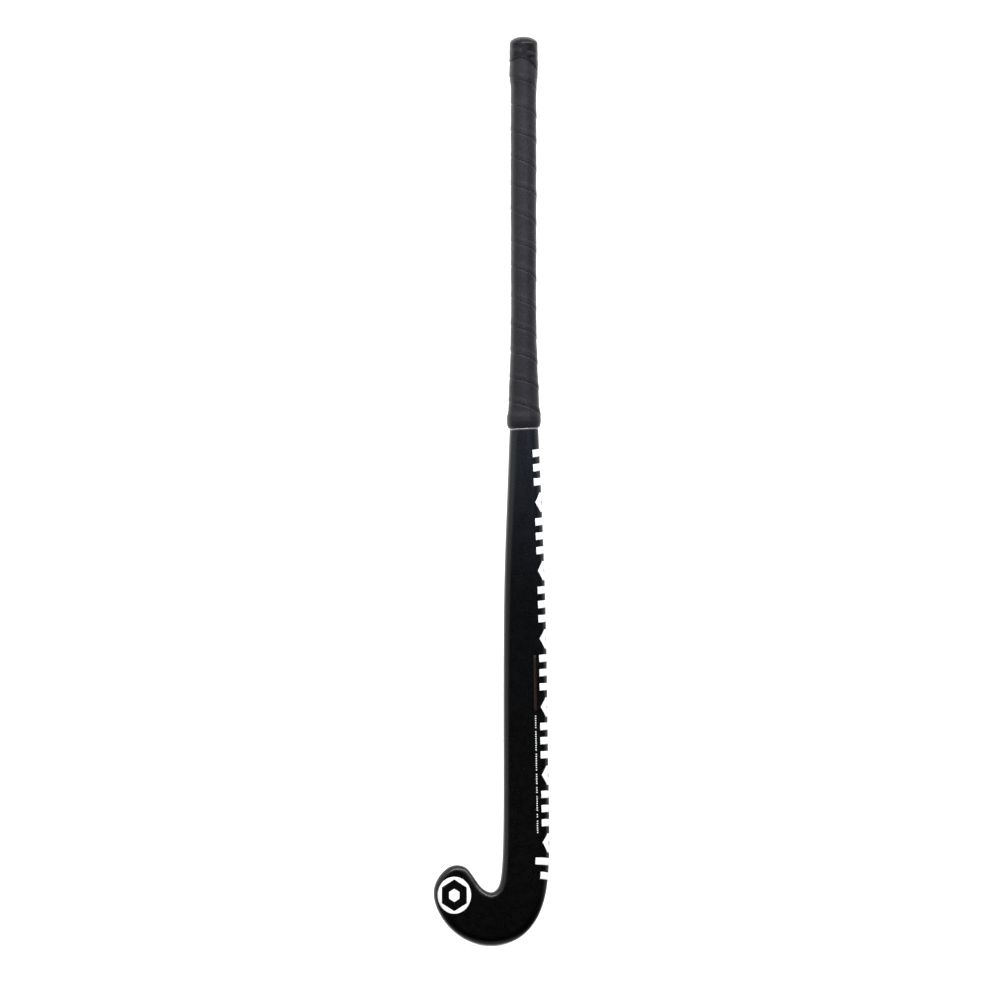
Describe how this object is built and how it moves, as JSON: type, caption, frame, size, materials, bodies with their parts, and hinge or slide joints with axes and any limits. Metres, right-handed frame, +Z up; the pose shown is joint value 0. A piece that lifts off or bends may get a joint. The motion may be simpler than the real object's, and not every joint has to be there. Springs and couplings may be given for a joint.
{
  "type": "field hockey stick",
  "caption": "Senior composite field hockey stick with a bowed shaft, a flat playing face, a hooked head and a wound grip.",
  "frame": {"origin": "bottom centre of the bounding box: the point on the floor under the middle of the stick's width and depth", "axes": "+Z up the handle, -Y out of the playing face, -X towards the toe of the hook"},
  "size_m": [0.1176, 0.0638, 0.927],
  "materials": {
    "black_lacquer": "satin clear coat over black laminate",
    "print_white": "white screen print under the clear coat",
    "head_filler": "cast resin and microsphere filler",
    "inner_laminate": "resin-rich woven laminate",
    "stopper_foam": "open-cell foam",
    "plug_nylon": "moulded",
    "cap_rubber": "moulded matte",
    "cushion_foam": "soft closed-cell foam",
    "collar_rubber": "matte",
    "silver_foil": "satin metallic",
    "grip_polyurethane": "tacky fine grain",
    "gloss_tape": "gloss vinyl"
  },
  "bodies": {
    "root": {"composite_shell": "black_lacquer", "head_core": "head_filler", "toe_side_tube": "inner_laminate", "heel_side_tube": "inner_laminate", "handle_foam": "stopper_foam", "end_plug": "plug_nylon", "butt_cap": "cap_rubber", "grip_underlay": "cushion_foam", "grip_collar": "collar_rubber", "trim_band": "silver_foil", "grip_tape": "grip_polyurethane", "end_tape": "gloss_tape"}
  },
  "joints": []
}
